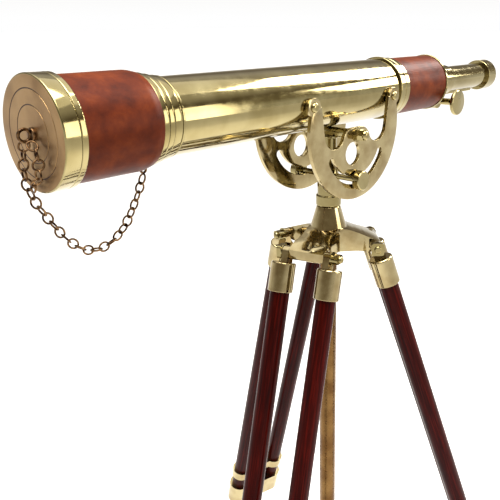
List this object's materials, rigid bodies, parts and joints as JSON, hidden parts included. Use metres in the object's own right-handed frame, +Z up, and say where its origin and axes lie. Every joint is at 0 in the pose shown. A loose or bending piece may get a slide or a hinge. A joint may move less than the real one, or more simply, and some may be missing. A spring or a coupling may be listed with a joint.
{
  "type": "telescope on tripod",
  "caption": "Brass refracting telescope with leather wraps and a chained lens cap, in a horned cradle on a turning pillar over a folding tripod of paired wooden rods.",
  "frame": {"origin": "on the floor, below the tripod's vertical axis", "axes": "+Z up along the pillar; +X towards the objective at rest; +Y towards the pivot nut's near side"},
  "size_m": [0.8424, 0.6872, 1.27],
  "materials": {
    "brass": "polished and lacquered",
    "cast_brass": "polished casting",
    "leather": "smooth tan, waxed",
    "mahogany": "dark red, glossy varnish",
    "glass": "polished",
    "black_paint": "matt",
    "old_brass": "antiqued, dark in the hollows"
  },
  "bodies": {
    "crown": {"crown": "cast_brass", "hinge_bolts": "brass"},
    "column_clamp": {"column_clamp_screw": "brass"},
    "column": {"column": "brass", "column_stop": "brass"},
    "pillar": {"pillar": "brass"},
    "altitude_clamp": {"clamp_bolt": "brass", "clamp_knobs": "brass"},
    "telescope": {"main_tube": "brass", "rear_leather_wrap": "leather", "rear_flange": "brass", "end_plate": "brass", "tailpiece": "brass", "pinion_housing": "brass", "step_collar": "brass", "objective_barrel": "brass", "front_leather_wrap": "leather", "objective_cell": "brass", "flint_lens": "glass", "crown_lens": "glass", "lens_retaining_ring": "brass", "baffles": "black_paint", "tube_lugs": "brass", "lug_screws": "brass", "cradle_plate_near": "cast_brass", "cradle_plate_far": "cast_brass", "pivot_bolt": "brass", "pivot_spacers": "brass", "chain_anchor": "old_brass"},
    "lens_cap": {"lens_cap": "brass", "cap_chain_eye": "old_brass", "chain": "old_brass", "chain_loop": "old_brass"},
    "drawtube": {"drawtube": "brass", "rack": "brass", "eyecup": "brass", "eyepiece_lenses": "glass"},
    "focus_pinion": {"pinion_shaft": "brass", "focus_knobs": "brass"},
    "leg_1": {"upper_rods_1": "mahogany", "top_ferrules_1": "cast_brass", "leg_clamp_1": "cast_brass"},
    "lower_leg_1": {"lower_rod_1": "mahogany", "slide_guide_1": "cast_brass", "foot_1": "cast_brass"},
    "leg_screw_1": {"clamp_screw_1": "cast_brass"},
    "leg_2": {"upper_rods_2": "mahogany", "top_ferrules_2": "cast_brass", "leg_clamp_2": "cast_brass"},
    "lower_leg_2": {"lower_rod_2": "mahogany", "slide_guide_2": "cast_brass", "foot_2": "cast_brass"},
    "leg_screw_2": {"clamp_screw_2": "cast_brass"},
    "leg_3": {"upper_rods_3": "mahogany", "top_ferrules_3": "cast_brass", "leg_clamp_3": "cast_brass"},
    "lower_leg_3": {"lower_rod_3": "mahogany", "slide_guide_3": "cast_brass", "foot_3": "cast_brass"},
    "leg_screw_3": {"clamp_screw_3": "cast_brass"}
  },
  "joints": [
    {"name": "column_lift", "type": "slide", "parent": "crown", "child": "column", "axis": [0, 0, 1], "range_m": [0, 0.3]},
    {"name": "column_clamp_turn", "type": "hinge", "parent": "crown", "child": "column_clamp", "pos_m": [0, 0, 1.026], "axis": [-0.9703, -0.2419, 0], "range_deg": [0, 360]},
    {"name": "azimuth_turn", "type": "hinge", "parent": "column", "child": "pillar", "pos_m": [0, 0, 1.069], "axis": [0, 0, 1], "continuous": true},
    {"name": "altitude_tilt", "type": "hinge", "parent": "pillar", "child": "telescope", "pos_m": [0, 0, 1.173], "axis": [0, 1, 0], "range_deg": [-40, 40]},
    {"name": "altitude_clamp_turn", "type": "hinge", "parent": "pillar", "child": "altitude_clamp", "pos_m": [0, 0, 1.115], "axis": [0, 1, 0], "range_deg": [0, 360]},
    {"name": "cap_pull", "type": "slide", "parent": "telescope", "child": "lens_cap", "axis": [1, 0, 0], "range_m": [0, 0.06], "deforming": ["chain", "chain_loop"]},
    {"name": "drawtube_slide", "type": "slide", "parent": "telescope", "child": "drawtube", "axis": [-1, 0, 0], "range_m": [-0.095, 0.02]},
    {"name": "pinion_turn", "type": "hinge", "parent": "telescope", "child": "focus_pinion", "pos_m": [-0.25, 0, 1.19], "axis": [0, 1, 0], "range_deg": [-180, 852]},
    {"name": "leg_fold_1", "type": "hinge", "parent": "crown", "child": "leg_1", "pos_m": [0.06016, 0.015, 1.022], "axis": [-0.2419, 0.9703, 0], "range_deg": [0, 18.3]},
    {"name": "leg_slide_1", "type": "slide", "parent": "leg_1", "child": "lower_leg_1", "axis": [0.3047, 0.076, -0.9494], "range_m": [-0.37, 0.022]},
    {"name": "leg_screw_turn_1", "type": "hinge", "parent": "leg_1", "child": "leg_screw_1", "pos_m": [0.23747, 0.05921, 0.46943], "axis": [0.9212, 0.2297, 0.314], "range_deg": [0, 360]},
    {"name": "leg_fold_2", "type": "hinge", "parent": "crown", "child": "leg_2", "pos_m": [-0.04307, 0.0446, 1.022], "axis": [-0.7193, -0.6947, 0], "range_deg": [0, 18.3]},
    {"name": "leg_slide_2", "type": "slide", "parent": "leg_2", "child": "lower_leg_2", "axis": [-0.2181, 0.2259, -0.9494], "range_m": [-0.37, 0.022]},
    {"name": "leg_screw_turn_2", "type": "hinge", "parent": "leg_2", "child": "leg_screw_2", "pos_m": [-0.17001, 0.17605, 0.46943], "axis": [-0.6595, 0.683, 0.314], "range_deg": [0, 360]},
    {"name": "leg_fold_3", "type": "hinge", "parent": "crown", "child": "leg_3", "pos_m": [-0.01709, -0.0596, 1.022], "axis": [0.9613, -0.2756, 0], "range_deg": [0, 18.3]},
    {"name": "leg_slide_3", "type": "slide", "parent": "leg_3", "child": "lower_leg_3", "axis": [-0.0865, -0.3018, -0.9494], "range_m": [-0.37, 0.022]},
    {"name": "leg_screw_turn_3", "type": "hinge", "parent": "leg_3", "child": "leg_screw_3", "pos_m": [-0.06746, -0.23526, 0.46943], "axis": [-0.2617, -0.9126, 0.314], "range_deg": [0, 360]}
  ],
  "couplings": [
    {"joint": "pinion_turn", "follows": "drawtube_slide", "rad_per_m": -156.25}
  ]
}
